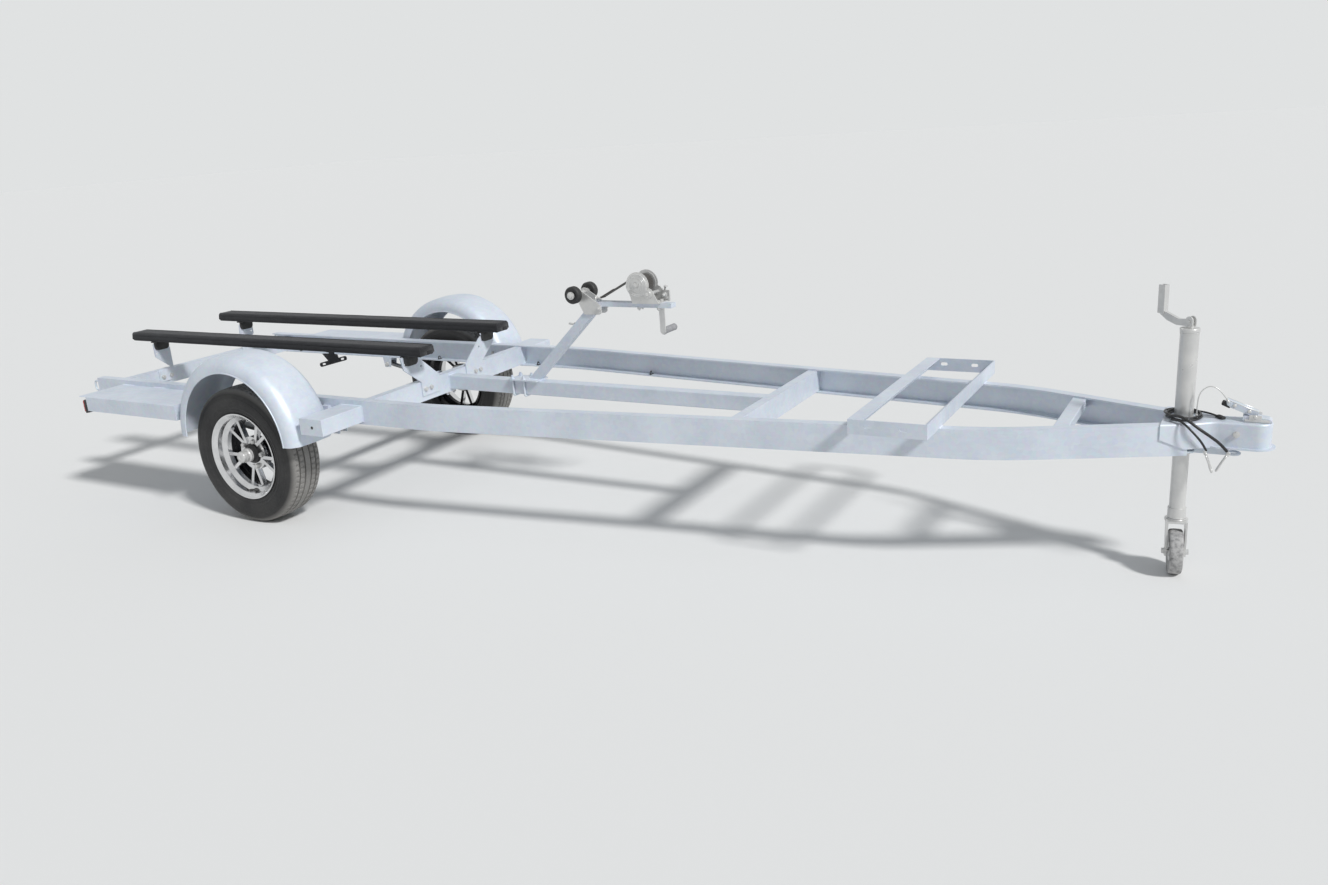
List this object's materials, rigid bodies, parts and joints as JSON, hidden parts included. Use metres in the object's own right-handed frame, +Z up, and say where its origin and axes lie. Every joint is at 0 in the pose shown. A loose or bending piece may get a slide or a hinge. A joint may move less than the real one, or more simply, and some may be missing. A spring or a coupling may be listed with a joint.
{
  "type": "boat trailer",
  "caption": "Flat single-axle trailer frame with long padded bunks, fenders over the wheels, a leaning winch post with rollers, a ball coupler and a wheeled tongue jack.",
  "frame": {"origin": "on the ground, below the centre of the bounding box", "axes": "+X forward towards the coupler, +Y to the trailer's left, +Z up"},
  "size_m": [5.107, 1.648, 0.991],
  "materials": {
    "galvanised_steel": "satin",
    "zinc_steel": "satin",
    "spring_steel": "matte",
    "polished_alloy": "gloss",
    "tyre_rubber": "matte",
    "black_rubber": "satin",
    "black_paint": "satin",
    "webbing": "matte",
    "cable_sheath": "satin",
    "carpet": "matte",
    "red_lens": "gloss"
  },
  "bodies": {
    "chassis": {"rail_left": "galvanised_steel", "rail_right": "galvanised_steel", "rear_crossmember": "galvanised_steel", "bunk_crossmember": "galvanised_steel", "mid_crossmember": "galvanised_steel", "front_crossmember": "galvanised_steel", "spine_tube": "galvanised_steel", "axle": "galvanised_steel", "fender_left": "galvanised_steel", "fender_right": "galvanised_steel", "fender_stub_left": "galvanised_steel", "fender_stub_right": "galvanised_steel", "rear_step_left": "galvanised_steel", "rear_step_right": "galvanised_steel", "bunk_bracket_front_left": "galvanised_steel", "bunk_bracket_front_right": "galvanised_steel", "bunk_bracket_rear_left": "galvanised_steel", "bunk_bracket_rear_right": "galvanised_steel", "tray_frame": "galvanised_steel", "winch_stand": "galvanised_steel", "tongue": "galvanised_steel", "bunk_pad_front_left": "black_rubber", "bunk_pad_front_right": "black_rubber", "bunk_pad_rear_left": "black_rubber", "bunk_pad_rear_right": "black_rubber", "harness_plug": "black_rubber", "bunk_slot_bar": "black_paint", "winch_strap": "webbing", "harness_coil": "cable_sheath", "harness_lead": "cable_sheath", "safety_cable_thick": "cable_sheath", "safety_cable_thin": "cable_sheath", "leaf_spring_left": "spring_steel", "leaf_spring_right": "spring_steel", "tail_light_left": "red_lens", "tail_light_right": "red_lens", "bunk_left": "carpet", "bunk_right": "carpet", "bow_bracket": "zinc_steel", "winch_frame": "zinc_steel", "winch_drum": "zinc_steel", "winch_crank": "zinc_steel", "coupler_body": "zinc_steel", "coupler_latch": "zinc_steel", "jack_tube": "zinc_steel", "jack_crank": "zinc_steel", "safety_hook_thick": "zinc_steel", "safety_hook_thin": "zinc_steel", "latch_wire": "zinc_steel"},
    "bow_roller_l": {"bow_roller_left": "black_rubber"},
    "bow_roller_r": {"bow_roller_right": "black_rubber"},
    "wheel_left": {"tyre_left": "tyre_rubber", "rim_left": "polished_alloy", "hub_left": "zinc_steel"},
    "wheel_right": {"tyre_right": "tyre_rubber", "rim_right": "polished_alloy", "hub_right": "zinc_steel"},
    "jack_leg": {"jack_leg": "zinc_steel"},
    "caster": {"caster_yoke": "zinc_steel"},
    "jack_wheel": {"jack_wheel": "black_rubber"}
  },
  "joints": [
    {"name": "wheel_spin_left", "type": "hinge", "parent": "chassis", "child": "wheel_left", "pos_m": [-1.2915, 0.696, 0.3], "axis": [0, 1, 0], "continuous": true},
    {"name": "wheel_spin_right", "type": "hinge", "parent": "chassis", "child": "wheel_right", "pos_m": [-1.2915, -0.696, 0.3], "axis": [0, 1, 0], "continuous": true},
    {"name": "jack_slide", "type": "slide", "parent": "chassis", "child": "jack_leg", "axis": [0, 0, -1], "range_m": [-0.15, 0.1]},
    {"name": "caster_swivel", "type": "hinge", "parent": "jack_leg", "child": "caster", "pos_m": [2.2865, 0, 0.2], "axis": [0, 0, 1], "continuous": true},
    {"name": "jack_wheel_spin", "type": "hinge", "parent": "caster", "child": "jack_wheel", "pos_m": [2.29088, -0.02765, 0.076], "axis": [0.9877, 0.1564, 0], "continuous": true},
    {"name": "bow_roller_spin_left", "type": "hinge", "parent": "chassis", "child": "bow_roller_l", "pos_m": [-0.0035, 0.061, 0.898], "axis": [0, 1, 0], "continuous": true},
    {"name": "bow_roller_spin_right", "type": "hinge", "parent": "chassis", "child": "bow_roller_r", "pos_m": [-0.0035, -0.061, 0.898], "axis": [0, 1, 0], "continuous": true}
  ]
}
